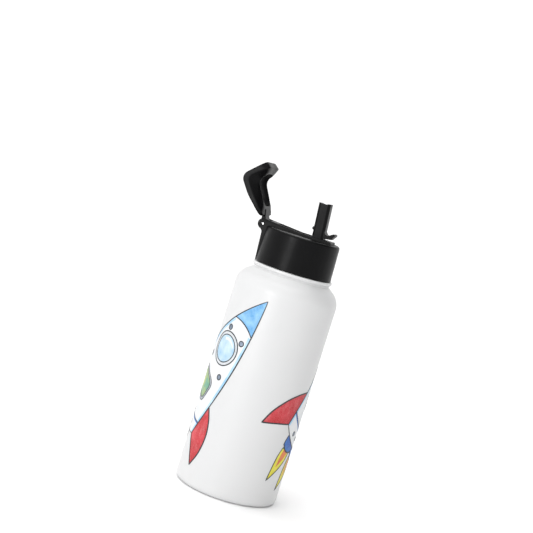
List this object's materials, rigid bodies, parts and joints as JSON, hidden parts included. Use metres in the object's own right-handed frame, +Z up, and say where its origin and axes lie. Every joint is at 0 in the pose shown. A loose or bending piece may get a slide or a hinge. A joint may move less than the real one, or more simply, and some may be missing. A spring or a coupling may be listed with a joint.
{
  "type": "water bottle",
  "caption": "Insulated steel water bottle with a screw-on straw lid, a flip spout and a swinging carry handle.",
  "frame": {"origin": "centre of the foot ring, in the plane that the bottle stands on", "axes": "+Z up the bottle's axis to the lid, +X to the spout's thumb tab, so the carry handle is on the -X side and +Y is on the left seen along +X"},
  "size_m": [0.108, 0.091, 0.2848],
  "materials": {
    "coat_white": "satin powder coat",
    "steel": "brushed",
    "solder_glass": "fused bead",
    "getter_metal": "sintered",
    "lid_black": "fine matte grain",
    "silicone": "soft matte",
    "straw_plastic": "clear gloss",
    "foam": "closed-cell foam"
  },
  "bodies": {
    "bottle": {"outer_shell": "coat_white", "base_plate": "coat_white", "seal_cover": "steel", "vacuum_seal": "solder_glass", "getter": "getter_metal", "getter_clip": "steel", "liner_wall": "steel", "liner_floor": "steel"},
    "gasket": {"lid_gasket": "silicone"},
    "lid": {"lid_shell": "lid_black", "lid_plug": "lid_black", "spout_seal": "silicone", "vent_valve": "silicone", "straw_socket": "silicone", "straw": "straw_plastic", "lid_foam": "foam", "handle_pin": "steel"},
    "handle": {"handle": "lid_black"},
    "spout": {"spout": "lid_black", "vent_stopper": "silicone"}
  },
  "joints": [
    {"name": "lid_lift", "type": "slide", "parent": "bottle", "child": "gasket", "axis": [0, 0, 1], "range_m": [0, 0.01201]},
    {"name": "lid_turn", "type": "hinge", "parent": "gasket", "child": "lid", "pos_m": [0, 0, 0.21], "axis": [0, 0, 1], "range_deg": [0, 864]},
    {"name": "handle_swing", "type": "hinge", "parent": "lid", "child": "handle", "pos_m": [-0.0358, 0, 0.2326], "axis": [0, 1, 0], "range_deg": [-110, 40]},
    {"name": "spout_flip", "type": "hinge", "parent": "lid", "child": "spout", "pos_m": [0.0122, 0, 0.233], "axis": [0, 1, 0], "range_deg": [-85.2, 0]}
  ],
  "couplings": [
    {"joint": "lid_lift", "follows": "lid_turn", "m_per_rad": 0.00079577}
  ]
}
